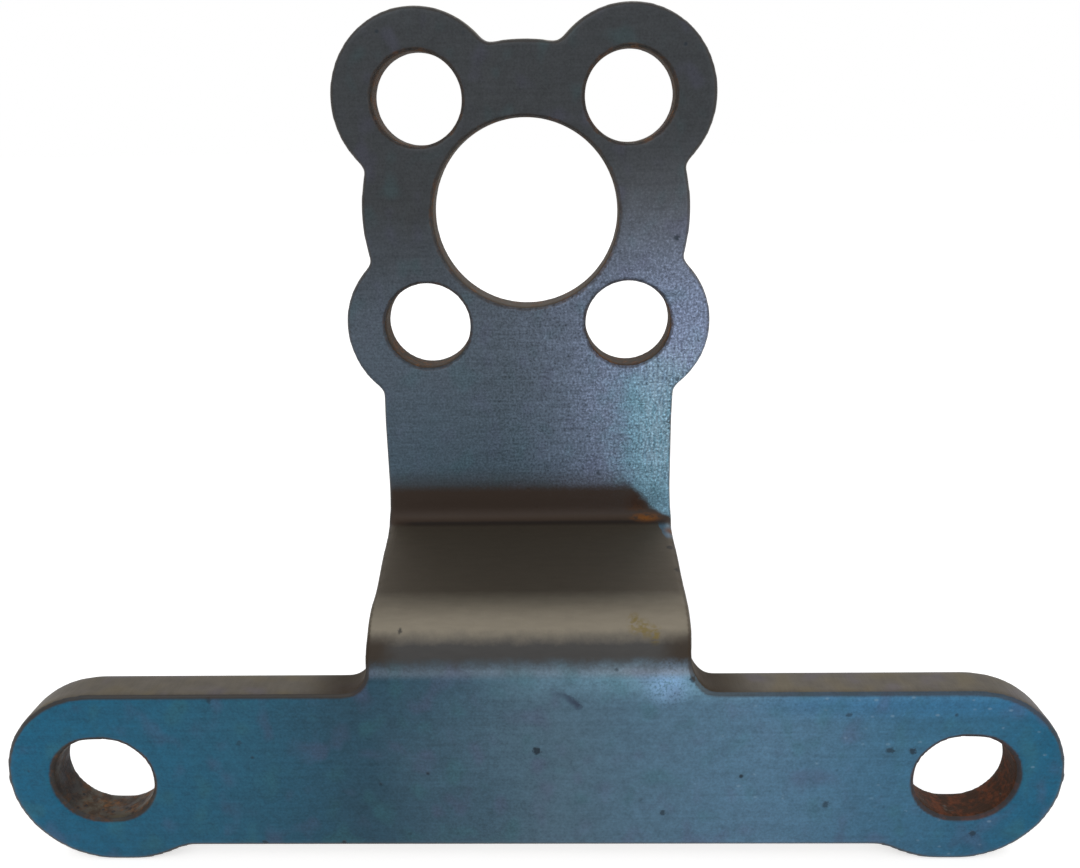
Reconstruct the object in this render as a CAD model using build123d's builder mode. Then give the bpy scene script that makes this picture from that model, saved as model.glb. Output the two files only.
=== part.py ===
from build123d import *
from math import radians, tan
import os

# Joggled plate bracket, in millimetres, upright as it is mounted.
# Origin: centre of the pilot bore, on the flange's front face.
# +X runs along the crossbar and +Z up the neck. The plate's front faces -Y.

# plate
plate_thickness = 5.0
edge_break = 0.3

# flange: a round pad with four lobes
pilot_diameter = 23.4
pad_radius = 20.7
hole_diameter = 11.0
hole_pitch_x = 26.0
hole_pitch_z = 28.0
lobe_radius = 10.6
notch_fillet = 1.4

# neck, from the bore's centre down to the joggle's first corner
neck_width = 38.4
neck_length = 40.9

# joggle: the plate steps forward between two bends
joggle_offset = 24.5
joggle_angle = 82.0
bend_inside_radius = 1.5

# crossbar with a slotted eye at each end
bar_height = 21.7
bar_setdown = 3.2
neck_fillet = 3.0
eye_pitch = 105.0
eye_drop = 2.1
eye_flat = 2.0
eye_fillet = 6.0
slot_width = 11.25
slot_travel = 1.0

# derived: the bends, seen from the side
half_turn = tan(radians(joggle_angle / 2))
bend_outside_radius = bend_inside_radius + plate_thickness
upper_corner_z = -neck_length
upper_bend_start_z = upper_corner_z + bend_inside_radius * half_turn
lower_corner_z = upper_corner_z - joggle_offset / tan(radians(joggle_angle))
lower_bend_end_z = lower_corner_z - bend_outside_radius * half_turn
back_setback = plate_thickness * half_turn
bar_front_y = -joggle_offset
bar_back_y = bar_front_y + plate_thickness

# derived: the outline, seen from the front
bar_top_z = lower_bend_end_z - bar_setdown
bar_bottom_z = bar_top_z - bar_height
eye_radius = (bar_height + eye_drop) / 2
eye_x = eye_pitch / 2
eye_z = bar_top_z - eye_radius
lobe_bottom_z = -hole_pitch_z / 2 - lobe_radius
blank_top_z = hole_pitch_z / 2 + lobe_radius + plate_thickness
blank_bottom_z = bar_bottom_z - 2 * eye_radius
blank_reach = eye_x + eye_radius + plate_thickness
cut_depth = joggle_offset + 2 * plate_thickness


def leaving(edge, corner):
    """The direction in which an edge leaves one of its ends."""
    starts_here = (edge @ 0 - corner).length < 1e-4
    return edge % 0 if starts_here else -(edge % 1)


def sharp_corners(sketch):
    """The outline's corners where two edges meet at an angle, not in a smooth run."""
    corners = []
    for vertex in sketch.vertices():
        corner = Vector(vertex)
        ends = [e for e in sketch.edges() if min((e @ 0 - corner).length, (e @ 1 - corner).length) < 1e-4]
        if len(ends) == 2 and leaving(ends[0], corner).get_angle(leaving(ends[1], corner)) < 175:
            corners.append(vertex)
    return corners


with BuildPart() as bracket:
    # side profile of the joggled plate, with the bends' own inside and outside radii
    with BuildSketch(Plane.YZ):
        with BuildLine():
            front = FilletPolyline(
                (0, blank_top_z),
                (0, upper_corner_z),
                (bar_front_y, lower_corner_z),
                (bar_front_y, blank_bottom_z),
                radius=(bend_inside_radius, bend_outside_radius),
            )
            back = FilletPolyline(
                (plate_thickness, blank_top_z),
                (plate_thickness, upper_corner_z - back_setback),
                (bar_back_y, lower_corner_z - back_setback),
                (bar_back_y, blank_bottom_z),
                radius=(bend_outside_radius, bend_inside_radius),
            )
            Line(front @ 0, back @ 0)
            Line(front @ 1, back @ 1)
        make_face()
    extrude(amount=blank_reach, both=True)

    # outline seen from the front, cut through the bent plate
    with BuildSketch(Plane.XZ) as outline:
        Circle(pad_radius)
        with GridLocations(hole_pitch_x, hole_pitch_z, 2, 2):
            Circle(lobe_radius)
        with Locations((0, (bar_bottom_z - hole_pitch_z / 2) / 2)):
            Rectangle(neck_width, -hole_pitch_z / 2 - bar_bottom_z)
        with Locations((0, bar_top_z - bar_height / 2)):
            Rectangle(eye_pitch, bar_height)
        with Locations((eye_flat / 2 - eye_x, eye_z), (eye_x - eye_flat / 2, eye_z)):
            SlotCenterToCenter(eye_flat, 2 * eye_radius)
        # fillets in the corners: pad to lobes and lobes to neck, neck to bar, bar to eyes
        for top, bottom, radius in (
            (blank_top_z, lobe_bottom_z, notch_fillet),
            (lobe_bottom_z, bar_top_z - neck_fillet, neck_fillet),
            (bar_top_z - neck_fillet, blank_bottom_z, eye_fillet),
        ):
            fillet([v for v in sharp_corners(outline) if bottom < v.Y < top], radius)
    extrude(amount=cut_depth, both=True, mode=Mode.INTERSECT)

    # pilot bore, four bolt holes and the eyes' slots, pierced square through the plate
    with BuildSketch(Plane.XZ):
        Circle(pilot_diameter / 2)
        with GridLocations(hole_pitch_x, hole_pitch_z, 2, 2):
            Circle(hole_diameter / 2)
        with Locations((-eye_x, eye_z), (eye_x, eye_z)):
            SlotCenterToCenter(slot_travel, slot_width)
    extrude(amount=cut_depth, both=True, mode=Mode.SUBTRACT)

    # every cut edge is broken, front and back: not the bends' own lines across the neck,
    # nor the lines where two curves of the outline run smoothly into each other
    joggle_edges = bracket.edges().filter_by(
        lambda e: lower_bend_end_z - edge_break < e.center().Z < upper_bend_start_z + edge_break
    )
    other_edges = bracket.edges() - joggle_edges
    across_neck = joggle_edges.filter_by(Axis.X)
    through_plate = other_edges.filter_by(Axis.Y)
    chamfer((joggle_edges - across_neck) + (other_edges - through_plate), edge_break)

bracket.part.label = "bracket"
os.makedirs("parts", exist_ok=True)
export_step(bracket.part, "parts/bracket.step")
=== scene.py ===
"""Joggled steel plate bracket, dressed in its finishes.

Mill scale on the rolled faces, bare steel over the joggle, sheared edges and rust in the
holes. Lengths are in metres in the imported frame; finishes measure in millimetres.
"""
from math import cos, radians, sin, tan

import bmesh
import bpy
import numpy as np
from mathutils import Matrix, Vector


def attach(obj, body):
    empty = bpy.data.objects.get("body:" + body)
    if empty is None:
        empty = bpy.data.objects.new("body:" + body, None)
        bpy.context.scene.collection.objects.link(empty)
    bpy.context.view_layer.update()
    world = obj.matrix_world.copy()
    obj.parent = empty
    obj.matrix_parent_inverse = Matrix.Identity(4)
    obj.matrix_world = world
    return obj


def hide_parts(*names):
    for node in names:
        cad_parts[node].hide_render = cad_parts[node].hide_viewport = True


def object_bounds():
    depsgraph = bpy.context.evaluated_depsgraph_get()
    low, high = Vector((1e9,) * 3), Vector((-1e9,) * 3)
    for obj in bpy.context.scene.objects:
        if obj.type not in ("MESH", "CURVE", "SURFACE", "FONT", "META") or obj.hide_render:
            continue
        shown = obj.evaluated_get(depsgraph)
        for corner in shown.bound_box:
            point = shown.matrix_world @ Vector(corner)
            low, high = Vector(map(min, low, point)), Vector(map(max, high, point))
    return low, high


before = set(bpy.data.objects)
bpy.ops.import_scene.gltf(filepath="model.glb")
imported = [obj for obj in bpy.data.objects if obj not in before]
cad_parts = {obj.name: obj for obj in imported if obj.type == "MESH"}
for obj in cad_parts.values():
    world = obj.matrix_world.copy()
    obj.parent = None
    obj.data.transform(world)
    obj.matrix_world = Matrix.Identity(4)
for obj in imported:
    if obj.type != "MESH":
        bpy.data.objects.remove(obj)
cad_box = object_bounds()

MM = 0.001

# the plate and its joggle
thickness = 5.0
joggle_offset = 24.5
joggle_angle = radians(82.0)
bend_inside = 1.5
neck_length = 40.9
neck_half_width = 19.2

# where the bends begin and end
half_turn = tan(joggle_angle / 2)
bend_outside = bend_inside + thickness
bend_middle = bend_inside + thickness / 2
upper_bend_z = bend_inside * half_turn - neck_length
bar_begins_z = -neck_length - joggle_offset / tan(joggle_angle) - bend_outside * half_turn
shelf_length = joggle_offset / sin(joggle_angle) - (bend_inside + bend_outside) * half_turn

# the same, along the middle of the plate from the pilot bore's centre
crease_starts = -upper_bend_z
shelf_starts = crease_starts + bend_middle * joggle_angle
crest_starts = shelf_starts + shelf_length
bar_starts = crest_starts + bend_middle * joggle_angle

# eye slots and round holes: centres seen from the front, and how far their marks reach
eye_x = 52.5
eye_z = -65.1
eye_reach = 7.6
bolt_x = 13.0
bolt_z = 14.0
bolt_hole_reach = 6.8
bore_reach = 13.0

# metal that the bends moved sideways at the neck's cut edges: out at the crease, in over the
# shelf, each by an amount at its middle, which fades out at its reach along the plate
squeezed_width = 5.0
crease_bulge = 0.32
crease_bulge_down = 42.4
crease_bulge_reach = 6.5
shelf_pinch = 0.24
shelf_pinch_down = 60.5
shelf_pinch_reach = 9.0

# how the neck leans to one side and the crest to the other, on the way down the plate
neck_lean_down = (18.0, 27.0, 46.0, 56.0, 61.0, 66.0, 68.0)
neck_lean = (0.0, -0.26, -0.26, 0.0, 0.15, 0.15, 0.0)

# how far the right cut edge strays outward where the neck runs into the crossbar
foot_stray = 0.50
foot_stray_down = 70.8
foot_stray_reach = 3.2
foot_stray_ends = 27.0
foot_stray_fade = 6.0

# the gouge in the bar's front face, from point to point
gouge_points = ((2.9, -53.0), (4.4, -53.6), (5.9, -54.9))
gouge_half_width = 0.40
gouge_reach = 0.72
gouge_depth = 0.20
front_skin = 0.6

# the fine mesh
facet = 0.41 * MM
weld = 0.001 * MM
die_roll_passes = 3


def srgb(red, green, blue):
    """A colour read off a screen, 0 to 255, as the linear one that a shader takes."""
    parts = [value / 255 for value in (red, green, blue)]
    linear = [p / 12.92 if p <= 0.04045 else ((p + 0.055) / 1.055) ** 2.4 for p in parts]
    return (*linear, 1.0)


# colours of the finishes
slate_scale = srgb(55, 58, 61)
neck_scale = srgb(75, 85, 96)
neck_blue_scale = srgb(68, 85, 98)
deep_blue_scale = srgb(12, 87, 117)
teal_blue_scale = srgb(35, 86, 109)
slate_blue_scale = srgb(39, 71, 88)
grey_blue_scale = srgb(74, 99, 115)
mid_blue_scale = srgb(80, 114, 138)
# rich blue: a painted sheen along the bar's top
sheen_rich_blue = srgb(48, 112, 158)
# pale grey, lavender and pale blue: colours of the painted sheen and of the painted highlight below the
# crest
pale_grey_sheen = srgb(118, 124, 134)
lavender_sheen = srgb(122, 135, 162)
pale_blue_sheen = srgb(112, 152, 172)
violet_tint = srgb(84, 80, 112)
teal_tint = srgb(50, 102, 106)
# pale blue: painted glints and painted sparkle
sparkle_pale = srgb(140, 164, 180)
glint_blue = srgb(126, 162, 198)
# bare steel with a painted highlight on the crest, dull steel with painted shade over the shelf, and a
# painted dark reflection below the crest
bare_steel_highlit = srgb(124, 117, 104)
dull_steel_shaded = srgb(78, 71, 61)
dark_reflection_steel = srgb(68, 67, 66)
# painted shade in the crease
crease_shade = srgb(32, 26, 22)
dark_oxide = srgb(34, 35, 38)
pit_blue = srgb(24, 36, 46)
gouge_shadow = srgb(40, 46, 66)
# brown: a painted reflection of the dark shelf, above the crease
shelf_reflection_brown = srgb(49, 35, 24)
olive_bloom = srgb(112, 96, 44)
sheared_steel = srgb(89, 83, 74)
# brown dirt, also used for the painted shade above the painted reflection
brown_dirt_and_shade = srgb(54, 43, 31)
brown_rust = srgb(55, 34, 20)
red_rust = srgb(98, 52, 28)
orange_rust = srgb(126, 76, 24)
floor_white = (0.80, 0.80, 0.80, 1.0)

# mill scale on the way down the plate: slate at the flange's top, grey-blue down the neck
neck_stops = (
    (-22.0, slate_scale),
    (-1.0, slate_scale),
    (15.0, neck_scale),
    (34.0, neck_blue_scale),
)

# mill scale along the bar: deep blue at the ends, greyer in the middle
bar_stops = (
    (-62.0, deep_blue_scale),
    (-36.0, teal_blue_scale),
    (-19.0, slate_blue_scale),
    (2.0, grey_blue_scale),
    (28.0, mid_blue_scale),
    (62.0, deep_blue_scale),
)

# bare steel on the way down: dull and darkened by painted shade over the shelf, bright with a painted
# highlight on the crest, and a painted dark reflection below it
joggle_stops = (
    (46.0, dull_steel_shaded),
    (61.4, dull_steel_shaded),
    (64.9, bare_steel_highlit),
    (65.8, bare_steel_highlit),
    (67.0, dark_reflection_steel),
    (68.5, dark_reflection_steel),
)

# small marks on the joggle: x and the way down the plate, and radius
joggle_dots = (
    ((-15.0, 65.9), 0.22),
    ((18.2, 51.8), 0.45),
    ((18.6, 57.0), 0.35),
)
crest_blooms = (
    ((12.6, 65.4), 0.7),
    ((13.7, 65.8), 0.6),
    ((14.9, 66.2), 0.6),
)

# rust round the slanting end of the painted reflection above the crease: x and the way down the plate,
# radius and soft margin
band_end_rusts = (
    ((14.4, 38.8), 1.2, 1.2),
    ((15.6, 43.2), 1.5, 1.3),
)
edge_rust_centre = (18.6, 47.5)

# the painted glint where the neck's right foot begins: x and the way down the plate
foot_glint_centre = (16.4, 70.4)

# single dots on the front faces: x and z, radius, and depth of colour
front_dots = (
    ((0.85, -60.99), 0.48, 1.0),
    ((16.15, -69.9), 0.34, 0.8),
    ((13.43, -68.15), 0.28, 0.4),
    ((37.76, -56.17), 0.34, 0.7),
    ((43.1, -61.1), 0.50, 0.8),
    ((45.7, -61.15), 0.42, 0.9),
    ((35.93, -68.78), 0.40, 0.7),
    ((54.15, -73.04), 0.42, 0.8),
    ((-38.08, -53.92), 0.30, 0.7),
    ((-35.13, -59.88), 0.36, 0.5),
    ((-33.29, -74.27), 0.42, 0.8),
    ((19.3, -51.3), 0.36, 0.9),
    ((18.96, -3.07), 0.36, 0.8),
)

# dirt and painted shade on the fillets at the neck's foot: x to either side, and z
foot_shade_centre = (20.6, -52.2)


class Value:
    """One socket of a finish. Python's own arithmetic on values adds Math nodes."""

    def __init__(self, finish, socket):
        self.finish = finish
        self.socket = socket

    def __add__(self, other):
        return self.finish.maths("ADD", self, other)

    def __radd__(self, other):
        return self.finish.maths("ADD", other, self)

    def __sub__(self, other):
        return self.finish.maths("SUBTRACT", self, other)

    def __rsub__(self, other):
        return self.finish.maths("SUBTRACT", other, self)

    def __mul__(self, other):
        return self.finish.maths("MULTIPLY", self, other)

    def __rmul__(self, other):
        return self.finish.maths("MULTIPLY", other, self)

    def __truediv__(self, other):
        return self.finish.maths("DIVIDE", self, other)

    def __rtruediv__(self, other):
        return self.finish.maths("DIVIDE", other, self)

    def __pow__(self, other):
        return self.finish.maths("POWER", self, other)

    def __abs__(self):
        return self.finish.maths("ABSOLUTE", self)

    def larger(self, other):
        return self.finish.maths("MAXIMUM", self, other)

    def smaller(self, other):
        return self.finish.maths("MINIMUM", self, other)


class Finish:
    """The shader nodes of a new material or world, with one method that adds any node."""

    def __init__(self, owner):
        owner.use_nodes = True
        self.owner = owner
        self.tree = owner.node_tree
        self.tree.nodes.clear()

    def node(self, kind, settings=(), sockets=(), output=0):
        """Adds a node: its settings, then the values or links of its sockets."""
        made = self.tree.nodes.new(kind)
        for name, setting in dict(settings).items():
            if name == "stops":
                self.set_stops(made.color_ramp, setting)
            else:
                setattr(made, name, setting)
        for name, value in dict(sockets).items():
            if isinstance(value, Value):
                self.tree.links.new(value.socket, made.inputs[name])
            else:
                made.inputs[name].default_value = value
        return Value(self, made.outputs[output]) if made.outputs else None

    def set_stops(self, ramp, stops):
        """Gives a colour ramp its stops, each a place from 0 to 1 and a colour."""
        while len(ramp.elements) < len(stops):
            ramp.elements.new(0.5)
        for element, (place, colour) in zip(ramp.elements, stops):
            element.position = place
            element.color = colour

    def maths(self, operation, *numbers):
        return self.node("ShaderNodeMath", {"operation": operation}, enumerate(numbers))

    def rise(self, value, low, high):
        """0 below low, 1 above high, and a smooth step between them."""
        sockets = {"Value": value, "From Min": low, "From Max": high}
        return self.node("ShaderNodeMapRange", {"interpolation_type": "SMOOTHSTEP"}, sockets)

    def band(self, value, low, high, soft):
        """1 from low to high, fading out over a soft margin on both sides."""
        begun = self.rise(value, low - soft, low + soft)
        return begun * (1 - self.rise(value, high - soft, high + soft))

    def blend(self, share, first, second, mode="MIX"):
        """The first colour, with the second laid over it by its share."""
        settings = {"data_type": "RGBA", "blend_type": mode}
        return self.node("ShaderNodeMix", settings, {0: share, 6: first, 7: second}, 2)

    def toned(self, colour, tone):
        """A colour made darker or lighter by a number."""
        grey = self.node("ShaderNodeCombineColor", {}, {0: tone, 1: tone, 2: tone})
        return self.blend(1.0, colour, grey, "MULTIPLY")

    def ramp(self, value, stops):
        """A colour along a measured value, from stops at that value's own numbers."""
        low, high = stops[0][0], stops[-1][0]
        places = [((place - low) / (high - low), colour) for place, colour in stops]
        return self.node("ShaderNodeValToRGB", {"stops": places}, {0: (value - low) / (high - low)})

    def stretched(self, vector, factors):
        """A vector with its three parts scaled apart."""
        return self.node("ShaderNodeVectorMath", {"operation": "MULTIPLY"}, {0: vector, 1: factors})

    def split(self, vector):
        """The three parts of a vector."""
        node = self.node("ShaderNodeSeparateXYZ", {}, {0: vector}).socket.node
        return [Value(self, socket) for socket in node.outputs]

    def noise(self, vector, size, detail=2.0, roughness=0.5):
        """Cloudy noise from about 0 to 1, with lumps of a size in the vector's units."""
        sockets = {"Vector": vector, "Scale": 1 / size, "Detail": detail, "Roughness": roughness}
        return self.node("ShaderNodeTexNoise", {"noise_dimensions": "3D"}, sockets)

    def cells(self, vector, size):
        """Distance to the nearest of points strewn about a size apart."""
        return self.node("ShaderNodeTexVoronoi", {}, {"Vector": vector, "Scale": 1 / size})

    def spot(self, x, z, centre, radius, soft):
        """1 in a round spot, with a soft margin on both sides of its rim."""
        away = ((x - centre[0]) * (x - centre[0]) + (z - centre[1]) * (z - centre[1])) ** 0.5
        return 1 - self.rise(away, radius - soft, radius + soft)

    def stroke(self, x, z, start, end, half_width, soft):
        """1 along a straight scratch from start to end, seen from the front."""
        run = (end[0] - start[0], end[1] - start[1])
        length_squared = run[0] ** 2 + run[1] ** 2
        share = ((x - start[0]) * run[0] + (z - start[1]) * run[1]) / length_squared
        share = share.larger(0.0).smaller(1.0)
        return self.spot(x - share * run[0], z - share * run[1], start, half_width, soft)

    def relief(self, height, strength=1.0):
        """A Bump normal from a height in millimetres."""
        sockets = {"Strength": strength, "Distance": MM, "Height": height}
        return self.node("ShaderNodeBump", {}, sockets)

    def surface(self, sockets):
        """Ends the material in a Principled shader with these sockets."""
        shader = self.node("ShaderNodeBsdfPrincipled", {}, sockets)
        self.node("ShaderNodeOutputMaterial", {}, {"Surface": shader})
        return self.owner


def toward(value, goal, share):
    """A value moved by a share of the way to a goal."""
    return value + (goal - value) * share


class Skin:
    """Where a point of the plate lies, in millimetres, and the noises that its marks share."""

    def __init__(self, finish):
        self.finish = finish
        in_metres = finish.node("ShaderNodeTexCoord", {}, {}, 3)
        self.place = finish.stretched(in_metres, (1 / MM, 1 / MM, 1 / MM))
        self.flat = finish.node("ShaderNodeAttribute", {"attribute_name": "flat_place"}, {}, 1)
        self.x, _, self.z = finish.split(self.place)
        _, self.down, through = finish.split(self.flat)

        # how deep it lies below the nearer rolled face, which face that is, and the bar
        self.depth = thickness / 2 - abs(through - thickness / 2)
        self.front = 1 - finish.rise(through, 0.6, 1.4)
        self.on_bar = finish.rise(self.down, 60.0, 72.0)

        # which hole it lies in or beside
        self.right_eye = finish.spot(self.x, self.z, (eye_x, eye_z), eye_reach, 0.6)
        self.left_eye = finish.spot(self.x, self.z, (-eye_x, eye_z), eye_reach, 0.6)
        self.bore = finish.spot(self.x, self.z, (0.0, 0.0), bore_reach, 0.6)
        one_corner = abs(self.x), abs(self.z)
        self.bolt_holes = finish.spot(*one_corner, (bolt_x, bolt_z), bolt_hole_reach, 0.6)

        # noises with no direction, from fine to broad
        self.fine = finish.noise(self.place, 0.30, 3.0, 0.6)
        self.medium = finish.noise(self.place, 1.6, 3.0, 0.55)
        self.broad = finish.noise(self.place, 9.0, 2.0)

        # noises with a direction: lumps, patches of tint, rolling lines and upright threads
        self.lumps = self.directed((0.8, 1.0, 1.2), 0.55, 2.0)
        self.patches = self.directed((1.0, 1.0, 0.8), 3.6, 1.0)
        self.rolled = self.directed((0.10, 1.0, 2.6), 1.0, 3.0)
        self.weave = self.directed((3.4, 1.0, 0.45), 1.0, 2.0)

        # the same place with ragged edges, and how a border wanders up and down
        self.ragged_x = self.x + (self.fine - 0.5) * 0.8
        self.ragged_z = self.z + (self.lumps - 0.5) * 0.8
        self.wander = (self.medium - 0.5) * 0.7 + (self.fine - 0.5) * 0.25

    def directed(self, factors, size, detail):
        """Noise whose lumps are longer where a factor is under 1."""
        return self.finish.noise(self.finish.stretched(self.place, factors), size, detail)

    def tinted(self, colour, low, tints):
        """A colour that drifts by patches toward two tints, each with its share."""
        for drift, (share, tint) in zip((self.patches, 1 - self.patches), tints):
            patch = self.finish.rise(drift, low, low + 0.20)
            colour = self.finish.blend(patch * share, colour, tint)
        return colour


def sheen_share(skin):
    """1 under the painted sheen: a pale painted reflection on the scale, down the neck's right."""
    finish, down = skin.finish, skin.down
    drifting_x = skin.x + (skin.broad - 0.5) * 9 + (skin.medium - 0.5) * 5
    sheen = finish.rise(drifting_x, -5.0, 21.0) * finish.rise(down, -12.0, 19.0)
    return sheen * (1 - finish.rise(down, 36.0, 50.0))


def scale_colour(skin, sheen):
    """Mill scale without its grain, paler under the painted sheen, which is bluer at the neck's right
    edge.
    """
    finish, x, down, broad = skin.finish, skin.x, skin.down, skin.broad
    neck_colour = finish.ramp(down + (broad - 0.5) * 10, neck_stops)
    bar_colour = finish.ramp(x + (broad - 0.5) * 9, bar_stops)
    scale = finish.blend(finish.rise(down, 60.0, 70.0), neck_colour, bar_colour)
    bluer = finish.rise(x + (skin.medium - 0.5) * 6, 9.0, 15.0)
    bluer = bluer * finish.rise(down + (broad - 0.5) * 8, 17.0, 24.0)
    sheen_colour = finish.blend(finish.rise(down, -6.0, 12.0), pale_grey_sheen, lavender_sheen)
    sheen_colour = finish.blend(bluer, sheen_colour, pale_blue_sheen)
    return finish.blend(sheen * 0.95, scale, sheen_colour)


def scale_below_crest(skin, scale):
    """A painted highlight of pale blue below the crest, with a painted glint and a greyer strip in it,
    and a painted sheen of rich blue at the bar's top.
    """
    finish, x, down = skin.finish, skin.x, skin.down
    highlight_below_crest = finish.rise(x + (skin.broad - 0.5) * 8, -10.0, 22.0)
    highlight_below_crest = highlight_below_crest * finish.band(down, 68.2, 71.8, 2.0)
    glint = finish.spot(x, down, foot_glint_centre, 2.1, 1.9) * finish.rise(skin.fine, 0.32, 0.52)
    grey_highlight = finish.band(down, 68.4, 69.7, 0.6) * (0.36 + 0.34 * finish.rise(x, 4.0, 14.0))
    top_sheen = finish.rise(x + (skin.broad - 0.5) * 6, 24.0, 36.0)
    top_sheen = top_sheen * finish.band(down, 70.5, 75.0, 1.6)
    scale = finish.blend(highlight_below_crest * 0.85, scale, pale_blue_sheen)
    scale = finish.blend(glint * 0.95, scale, glint_blue)
    scale = finish.blend(grey_highlight, scale, pale_grey_sheen)
    return finish.blend(top_sheen * 0.35, scale, sheen_rich_blue)


def grained(skin, scale, sheen):
    """The scale with a painted glint at the neck's right edge, and its grain, coarser below the bore
    and on the neck's right, with painted sparkle in the sheen.
    """
    finish, x, down = skin.finish, skin.x, skin.down
    glint = finish.rise(x, 13.0, 17.0) * finish.band(down, 18.0, 35.0, 4.0)
    glint = glint * finish.rise(skin.weave, 0.36, 0.58)
    scale = finish.blend(glint * 0.55, scale, sparkle_pale)
    coarse = finish.band(down, 4.0, 39.0, 8.0) * (0.35 + 0.65 * finish.rise(x, -14.0, 8.0))
    grain = 1 + (skin.fine - 0.5) * (0.9 + 1.9 * coarse)
    grain = grain + (skin.lumps - 0.5) * (0.3 + 0.6 * coarse)
    grain = grain + (skin.rolled - 0.5) * (0.35 + 0.5 * coarse)
    grain = grain + (skin.weave - 0.5) * 0.5 * coarse + (skin.medium - 0.5) * 0.50
    sheen_sparkle = finish.rise(skin.fine, 0.50, 0.74) * sheen
    return finish.toned(scale, (grain + 0.8 * sheen_sparkle).larger(0.2))


def pit_share(skin):
    """1 in the pits strewn over the scale and in the single dots of the front faces."""
    finish = skin.finish
    strewn = finish.cells(finish.stretched(skin.place, (1.0, 0.3, 1.0)), 4.2)
    pits = 1 - finish.rise(strewn + (skin.medium - 0.5) * 0.05, 0.03, 0.09)
    pits = pits * finish.rise(skin.broad, 0.45, 0.6)
    for centre, radius, depth in front_dots:
        dot = finish.spot(skin.ragged_x, skin.ragged_z, centre, radius, 0.16)
        pits = pits.larger(dot * skin.front * depth)
    return pits


def marked(skin, scale, pits):
    """The scale with painted sparkle on the bar's right, the gouge, pits, and chips on the neck's edge.
    """
    finish, x, down = skin.finish, skin.x, skin.down
    strewn = finish.cells(finish.stretched(skin.place, (0.8, 0.3, 1.2)), 1.5)
    sparkle = (1 - finish.rise(strewn, 0.06, 0.20)) * finish.rise(skin.medium, 0.46, 0.60)
    sparkle = sparkle * finish.rise(x, 14.0, 28.0) * finish.rise(down, 66.0, 70.0)
    gouge = 0.0
    for start, end in zip(gouge_points, gouge_points[1:]):
        scratch = finish.stroke(skin.ragged_x, skin.ragged_z, start, end, gouge_half_width, 0.32)
        gouge = scratch.larger(gouge)
    gouge = gouge * skin.front * (0.30 + 0.70 * finish.rise(x, 3.0, 5.6))
    chips = finish.rise(skin.lumps, 0.50, 0.62) * finish.rise(x, 17.0, 18.4)
    chips = chips * finish.band(down, 20.0, 31.0, 3.0) * skin.front
    scale = finish.blend(sparkle * 0.3, scale, sparkle_pale)
    scale = finish.blend(gouge * 0.75, scale, gouge_shadow)
    return finish.blend(pits.larger(chips * 0.8) * 0.9, scale, pit_blue)


def bare_share(skin):
    """1 over the joggle, which has lost its scale but for a corner at the crease's right end."""
    finish, down = skin.finish, skin.down
    kept_corner = finish.rise(skin.x + (skin.medium - 0.5), 16.4, 18.0) * 7.5
    bare = finish.rise(down - kept_corner + skin.wander * 0.5, 41.4, 42.4)
    return bare * (1 - finish.rise(down + skin.wander, 67.7, 69.3))


def bare_colour(skin):
    """Brushed bare steel with painted shade over the shelf, a painted highlight on the crest and a
    painted dark reflection below it, a little lighter to the right, with dirt at both ends of the
    crest.
    """
    finish, x, down = skin.finish, skin.x, skin.down
    brushed = finish.noise(finish.stretched(skin.place, (0.25, 1.0, 1.0)), 0.6, 3.0)
    tone = 0.90 + 0.20 * brushed + 0.08 * finish.rise(x, 2.0, 17.0)
    colour = finish.toned(finish.ramp(down + skin.wander, joggle_stops), tone)
    crest_ends = finish.rise(abs(x) + (skin.medium - 0.5) * 2, 14.5, 18.0)
    return finish.blend(crest_ends * finish.band(down, 66.4, 69.0, 0.7) * 0.7, colour, brown_dirt_and_shade)


def joggle_marks(skin, colour):
    """Dark dots on the shelf and olive blooms on the crest."""
    finish, front = skin.finish, skin.front
    for centre, radius in joggle_dots:
        dot = finish.spot(skin.ragged_x, skin.down, centre, radius, 0.12) * front
        colour = finish.blend(dot * 0.7, colour, dark_oxide)
    for centre, radius in crest_blooms:
        bloom = finish.spot(skin.ragged_x, skin.down, centre, radius, 0.4) * front
        colour = finish.blend(bloom * finish.rise(skin.lumps, 0.36, 0.60) * 0.7, colour, olive_bloom)
    return colour


def reflection_share(skin):
    """1 where the neck's face takes a painted reflection of the shelf: in front, down to the crease,
    and left of the reflection's slanting end.
    """
    finish, down = skin.finish, skin.down
    band_end = 13.8 + 0.8 * (down - 36.4) + (skin.medium - 0.5) * 1.5
    reflecting = (1 - finish.rise(skin.x - band_end, -0.7, 0.7)) * skin.front
    return reflecting * (1 - finish.rise(down, 45.0, 46.4))


def crease_shade_share(skin):
    """1 along a line of painted shade in the crease."""
    finish = skin.finish
    crease_shading = finish.band(skin.down + skin.wander * 0.4, 44.4, 45.9, 0.6) * skin.front
    return crease_shading * (1 - finish.rise(abs(skin.x), 15.5, 19.0))


def rimmed(skin, colour, rim):
    """A dark line where a face turns into a cut, brown beside the joggle and darkest on the bar."""
    finish = skin.finish
    rim_colour = finish.blend(finish.band(skin.down, 16.0, 50.0, 6.0), brown_dirt_and_shade, dark_oxide)
    on_left = 1 - finish.rise(skin.x, -30.0, 0.0)
    return finish.blend(rim * (0.40 + skin.on_bar * (0.32 + 0.16 * on_left)), colour, rim_colour)


def dirt_and_shade_share(skin):
    """Dirt and painted shade in the round holes and on the fillets at the neck's foot."""
    shaded_corners = skin.finish.spot(abs(skin.x), skin.z, foot_shade_centre, 4.4, 3.4)
    dirt_and_shade = (skin.bolt_holes * 0.85).larger(skin.bore * 0.70).larger(shaded_corners * 0.80)
    return (dirt_and_shade * (0.6 + 0.8 * skin.medium)).smaller(1.0)


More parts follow.
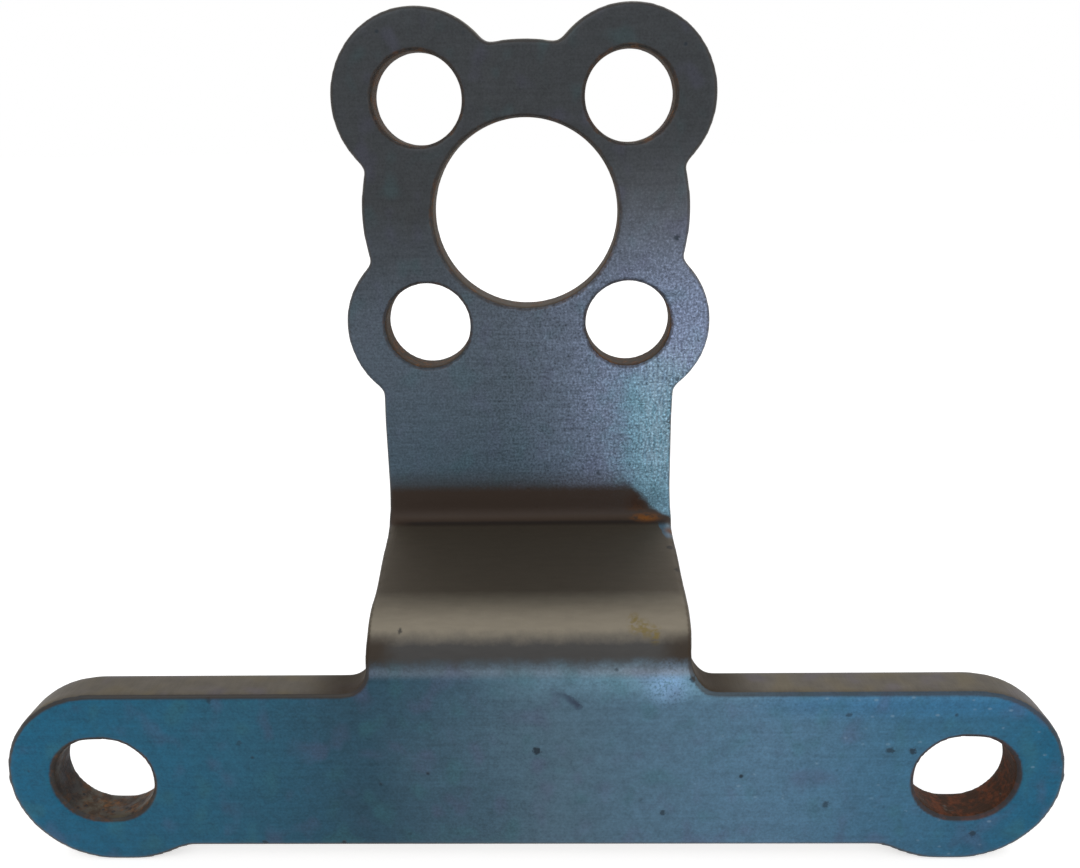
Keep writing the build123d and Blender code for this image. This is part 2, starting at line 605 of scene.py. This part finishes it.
def cut_colour(skin, lines, dirt_and_shade):
    """Sheared edges and pierced walls, with their lines and tints, and dirt with painted shade."""
    tone = (0.86 + 0.28 * lines + (skin.medium - 0.5) * 0.6) * (1 - 0.30 * skin.left_eye)
    sheared = skin.finish.toned(sheared_steel, tone)
    sheared = skin.tinted(sheared, 0.52, ((0.18, violet_tint), (0.16, olive_bloom)))
    return skin.finish.blend(dirt_and_shade, sheared, brown_dirt_and_shade)


def rusted_walls(skin, colour, cut, rim):
    """Rust in the holes: all of the right eye's wall, patches in the rest. The colour and its share."""
    finish = skin.finish
    rust = skin.right_eye.larger(skin.left_eye * 0.62)
    rust = rust.larger(skin.bolt_holes * 0.55).larger(skin.bore * 0.45)
    patch = finish.rise(finish.noise(skin.place, 1.3, 4.0, 0.65) + rust * 0.45, 0.66, 0.84)
    wall_rust = cut.larger(rim * 0.5) * rust * patch
    bright_rust = finish.blend(skin.right_eye, orange_rust, red_rust)
    bright = finish.rise(skin.lumps * 0.4 + skin.medium * 0.6, 0.44, 0.66)
    colour = finish.blend(wall_rust, colour, finish.blend(bright, brown_rust, bright_rust))

    # dark grime in the left eye, most of all on its outer side
    grime = (1 - finish.rise(finish.cells(skin.flat, 1.1), 0.14, 0.30)) * skin.left_eye * cut
    outer_side = finish.rise(0 - skin.x, eye_x + 3.0, eye_x + 5.5) * skin.left_eye * cut
    return finish.blend((grime * 0.8).larger(outer_side * 0.6), colour, dark_oxide), wall_rust


def rusted_band_end(skin, colour):
    """Rust at the slanting end of the painted reflection, and beside it on the neck's edge. The colour
    and its share.
    """
    finish, x, down = skin.finish, skin.x, skin.down
    near_end, lower = [finish.spot(x, down, *rust) for rust in band_end_rusts]
    at_end = near_end.larger(lower) * skin.front
    at_end = at_end * finish.rise(skin.medium * 0.6 + skin.lumps * 0.4, 0.34, 0.52)
    at_edge = finish.spot(x, down, edge_rust_centre, 0.5, 0.7) * skin.front
    bloom = at_end.larger(at_edge * 0.8)
    bright = finish.rise(down + (skin.lumps - 0.5) * 3, 39.0, 42.0)
    bloom_colour = finish.blend(bright, brown_rust, orange_rust)
    return finish.blend(bloom * 0.85, colour, bloom_colour), bloom


def plate_finish():
    """Mill scale, bare joggle, sheared edges, dirt and rust, with painted sheen, highlights and glints,
    a painted reflection and painted shade, all on the one plate.
    """
    finish = Finish(bpy.data.materials.new("scaled_steel_plate"))
    skin = Skin(finish)

    # mill scale, with a painted sheen, painted highlights, painted glints and painted sparkle
    sheen = sheen_share(skin)
    scale = scale_below_crest(skin, scale_colour(skin, sheen))
    tint_share = 0.12 + 0.14 * skin.on_bar + 0.10 * sheen
    scale = skin.tinted(scale, 0.55, ((tint_share, violet_tint), (tint_share, teal_tint)))
    pits = pit_share(skin)
    scale = marked(skin, grained(skin, scale, sheen), pits)

    # a brown painted reflection of the dark shelf above the crease, with painted shade that fades in
    # above it
    reflecting = reflection_share(skin)
    reflection_fringe = finish.rise(skin.down + (skin.medium - 0.5), 33.0, 36.6) * reflecting
    reflected_band = finish.rise(skin.down + (skin.lumps - 0.5) * 0.8, 35.6, 37.1) * reflecting
    crease_shading = crease_shade_share(skin)
    scale = finish.blend(reflection_fringe * 0.52, scale, brown_dirt_and_shade)

    # the joggle with its painted light, the painted reflection, and the painted shade in the crease
    bare = bare_share(skin)
    colour = joggle_marks(skin, finish.blend(bare, scale, bare_colour(skin)))
    colour = finish.blend(reflected_band * 0.95, colour, shelf_reflection_brown)
    colour = finish.blend(crease_shading * 0.9, colour, crease_shade)

    # rims, cuts and rust
    rim = finish.rise(skin.depth, 0.03, 0.13)
    cut = finish.rise(skin.depth + (skin.fine - 0.5) * 0.10, 0.32, 0.48)
    lines = finish.noise(finish.stretched(skin.flat, (3.2, 3.2, 0.35)), 1.0, 3.0, 0.6)
    # dirt with painted shade in the round holes and on the fillets at the neck's foot
    dirt_and_shade = dirt_and_shade_share(skin)
    colour = finish.blend(cut, rimmed(skin, colour, rim), cut_colour(skin, lines, dirt_and_shade))
    colour, wall_rust = rusted_walls(skin, colour, cut, rim)
    colour, bloom = rusted_band_end(skin, colour)
    rusty = wall_rust.larger(bloom)

    # gloss and relief
    band_and_crease = reflected_band.larger(crease_shading)
    cut_dirt_and_shade = cut * dirt_and_shade
    rough = 0.46 + (skin.fine - 0.5) * 0.22 + (skin.medium - 0.5) * 0.12
    for goal, share in ((0.60, bare), (0.62, band_and_crease), (0.60, cut), (0.88, cut_dirt_and_shade.larger(rusty))):
        rough = toward(rough, goal, share)
    metal = 0.55
    for goal, share in ((0.70, bare), (0.15, band_and_crease), (0.50, cut), (0.10, cut_dirt_and_shade), (0.05, rusty)):
        metal = toward(metal, goal, share)
    height = (skin.fine - 0.5) * 0.012 + (skin.medium - 0.5) * 0.03 + (skin.rolled - 0.5) * 0.01
    height = height - pits * (1 - bare) * 0.05
    height = height + cut * ((lines - 0.5) * 0.04) + rusty * (skin.fine - 0.5) * 0.10
    return finish.surface({
        "Base Color": colour,
        "Roughness": rough,
        "Metallic": metal,
        "Normal": finish.relief(height),
        "Specular IOR Level": 0.35,
    })


def flat_places(points):
    """Where points of the bent plate lay in the flat blank: across, down and through it, in mm."""
    across, y, z = points.T / MM
    from_upper = np.stack([y + bend_inside, z - upper_bend_z])
    from_lower = np.stack([y + joggle_offset - bend_outside, z - bar_begins_z])
    run = -sin(joggle_angle) * from_upper[0] - cos(joggle_angle) * from_upper[1]
    upper_turn = np.arctan2(-from_upper[1], from_upper[0])
    lower_turn = np.arctan2(from_lower[1], -from_lower[0])
    stretches = [z > upper_bend_z, z < bar_begins_z, run < 0, run > shelf_length]
    down = np.select(
        stretches,
        [
            -z,
            bar_starts + bar_begins_z - z,
            crease_starts + bend_middle * upper_turn,
            bar_starts - bend_middle * lower_turn,
        ],
        shelf_starts + run,
    )
    through = np.select(
        stretches,
        [
            y,
            y + joggle_offset,
            np.hypot(*from_upper) - bend_inside,
            bend_outside - np.hypot(*from_lower),
        ],
        cos(joggle_angle) * from_upper[0] - sin(joggle_angle) * from_upper[1] - bend_inside,
    )
    return np.stack([across, down, through], axis=1)


def bump_over(value, centre, half_width):
    """1 at the centre, falling smoothly to 0 at half_width away."""
    share = np.clip(1 - np.abs(value - centre) / half_width, 0, 1)
    return share * share * (3 - 2 * share)


def fine_skin(node):
    """An even, closed mesh over a merged copy of the CAD node, fine enough to take wear."""
    shape = bmesh.new()
    shape.from_mesh(node.data)
    bmesh.ops.remove_doubles(shape, verts=shape.verts, dist=weld)
    draft = bpy.data.meshes.new("merged_plate")
    shape.to_mesh(draft)
    shape.free()
    piece = bpy.data.objects.new("bracket_plate", draft)
    bpy.context.scene.collection.objects.link(piece)
    even = piece.modifiers.new("even_facets", "REMESH")
    even.mode = "VOXEL"
    even.voxel_size = facet
    even.adaptivity = 0.0
    depsgraph = bpy.context.evaluated_depsgraph_get()
    piece.data = bpy.data.meshes.new_from_object(piece.evaluated_get(depsgraph))
    piece.modifiers.clear()
    bpy.data.meshes.remove(draft)
    return piece


def roll_edges(mesh):
    """Rounds every edge a little, as a die does when it shears a plate."""
    shape = bmesh.new()
    shape.from_mesh(mesh)
    axes = {"use_axis_x": True, "use_axis_y": True, "use_axis_z": True}
    for _ in range(die_roll_passes):
        bmesh.ops.smooth_vert(shape, verts=shape.verts, factor=0.5, **axes)
    shape.to_mesh(mesh)
    shape.free()


def vertex_places(mesh):
    """The places of a mesh's points, in metres."""
    places = np.empty(len(mesh.vertices) * 3, np.float32)
    mesh.vertices.foreach_get("co", places)
    return places.reshape(-1, 3).astype(float)


def sideways_flow(across, down, through):
    """How far in mm the bends and the press moved the plate's points to the right."""
    near_edge = np.clip((np.abs(across) - neck_half_width) / squeezed_width + 1, 0, 1) ** 2
    front_share = 1 - 2 * through / thickness
    squeezed = crease_bulge * bump_over(down, crease_bulge_down, crease_bulge_reach)
    squeezed -= shelf_pinch * bump_over(down, shelf_pinch_down, shelf_pinch_reach)
    lean = np.interp(down, neck_lean_down, neck_lean)
    at_foot = (across > 0) * np.clip((foot_stray_ends - across) / foot_stray_fade, 0, 1)
    stray = foot_stray * at_foot * bump_over(down, foot_stray_down, foot_stray_reach)
    return lean + near_edge * (np.sign(across) * squeezed * front_share + stray)


def away_from_gouge(places):
    """How far in mm points lie from the gouge's line, seen from the front."""
    seen = places[:, [0, 2]] / MM
    away = np.full(len(seen), np.inf)
    for start, end in zip(np.array(gouge_points), np.array(gouge_points[1:])):
        run = end - start
        share = np.clip(((seen - start) @ run) / (run @ run), 0, 1)
        away = np.minimum(away, np.linalg.norm(seen - start - share[:, None] * run, axis=1))
    return away


def flow_and_wear(mesh):
    """Moves the metal that the bends squeezed, and presses the gouge into the bar's face."""
    places = vertex_places(mesh)
    across, down, through = flat_places(places).T
    places[:, 0] += sideways_flow(across, down, through) * MM
    on_front = (through < front_skin) & (down > bar_starts)
    gouged = bump_over(away_from_gouge(places), 0.0, gouge_reach)
    places[:, 1] += on_front * gouged * gouge_depth * MM
    places = np.clip(places, *(np.array(corner) for corner in cad_box))
    mesh.vertices.foreach_set("co", places.astype(np.float32).ravel())


def bracket_plate():
    """The whole bracket, which is one plate."""
    piece = fine_skin(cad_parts["bracket"])
    mesh = piece.data
    roll_edges(mesh)
    flat = mesh.attributes.new("flat_place", "FLOAT_VECTOR", "POINT")
    flat.data.foreach_set("vector", flat_places(vertex_places(mesh)).astype(np.float32).ravel())
    flow_and_wear(mesh)
    mesh.shade_smooth()
    mesh.materials.clear()
    mesh.materials.append(plate_finish())
    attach(piece, "root")
    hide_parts("bracket")


# the camera: a little above the bracket, and close to it
camera_lens = 33.096
camera_film_width = 36.0
camera_place = Vector((4.426, -126.744, 11.486)) * MM
camera_pitch = radians(17.619)
camera_yaw = radians(-1.395)
camera_roll = radians(1.022)


def photo_camera():
    """The camera, from its place and three turns."""
    heading = Vector((sin(camera_yaw), cos(camera_yaw), 0))
    ahead = cos(camera_pitch) * heading - Vector((0, 0, sin(camera_pitch)))
    level = Vector((cos(camera_yaw), -sin(camera_yaw), 0))
    below = ahead.cross(level)
    right = cos(camera_roll) * level + sin(camera_roll) * below
    up = sin(camera_roll) * level - cos(camera_roll) * below
    turned = Matrix((right, up, -ahead)).transposed().to_4x4()
    lens = bpy.data.cameras.new("photo_camera")
    lens.sensor_fit = "HORIZONTAL"
    lens.sensor_width = camera_film_width
    lens.lens = camera_lens
    lens.clip_start = 1 * MM
    camera = bpy.data.objects.new("photo_camera", lens)
    bpy.context.scene.collection.objects.link(camera)
    camera.matrix_world = Matrix.Translation(camera_place) @ turned
    bpy.context.scene.camera = camera


# the studio: lamps have a name, a place and a width in metres, and a power in watts
floor_half_width = 3.0
floor_lift = 0.62
room_light = 0.50
lamps = (
    ("key_lamp", (-0.30, -0.55, 0.55), 0.55, 1.6),
    ("fill_lamp", (0.60, -0.50, 0.20), 0.55, 0.8),
    ("back_lamp", (0.10, 0.60, 0.50), 0.60, 1.4),
)


def seen_rays(finish):
    """1 for rays from the camera, and for those that go on from metal or glass."""
    kinds = ("Is Camera Ray", "Is Glossy Ray", "Is Transmission Ray")
    straight, mirrored, passed = [finish.node("ShaderNodeLightPath", {}, {}, kind) for kind in kinds]
    return straight.larger(mirrored).larger(passed)


def floor():
    """A plain pale floor, white to the eye but for the bracket's shadow."""
    shape = bmesh.new()
    bmesh.ops.create_grid(shape, x_segments=1, y_segments=1, size=floor_half_width)
    bmesh.ops.translate(shape, verts=shape.verts, vec=(0, 0, cad_box[0].z))
    mesh = bpy.data.meshes.new("floor")
    shape.to_mesh(mesh)
    shape.free()
    piece = bpy.data.objects.new("floor", mesh)
    bpy.context.scene.collection.objects.link(piece)
    finish = Finish(bpy.data.materials.new("pale_floor"))
    paint = finish.node("ShaderNodeBsdfDiffuse", {}, {"Color": floor_white})
    glow = {"Color": (1, 1, 1, 1), "Strength": seen_rays(finish) * floor_lift}
    lift = finish.node("ShaderNodeEmission", {}, glow)
    both = finish.node("ShaderNodeAddShader", {}, {0: paint, 1: lift})
    finish.node("ShaderNodeOutputMaterial", {}, {"Surface": both})
    mesh.materials.append(finish.owner)


def room():
    """A white room, which lights the bracket evenly from all round."""
    finish = Finish(bpy.data.worlds.new("white_room"))
    strength = toward(room_light, 1.0, seen_rays(finish))
    glow = finish.node("ShaderNodeBackground", {}, {"Color": (1, 1, 1, 1), "Strength": strength})
    finish.node("ShaderNodeOutputWorld", {}, {"Surface": glow})
    bpy.context.scene.world = finish.owner


def softbox(name, place, size, watts):
    """A square lamp that looks at the bracket."""
    data = bpy.data.lights.new(name, "AREA")
    data.shape = "SQUARE"
    data.size = size
    data.energy = watts
    lamp = bpy.data.objects.new(name, data)
    bpy.context.scene.collection.objects.link(lamp)
    centre = (cad_box[0] + cad_box[1]) / 2
    aim = (centre - Vector(place)).to_track_quat("-Z", "Y")
    lamp.matrix_world = Matrix.Translation(place) @ aim.to_matrix().to_4x4()


photo_camera()
room()
floor()
for lamp in lamps:
    softbox(*lamp)
bracket_plate()

bpy.context.scene.view_settings.view_transform = "Standard"
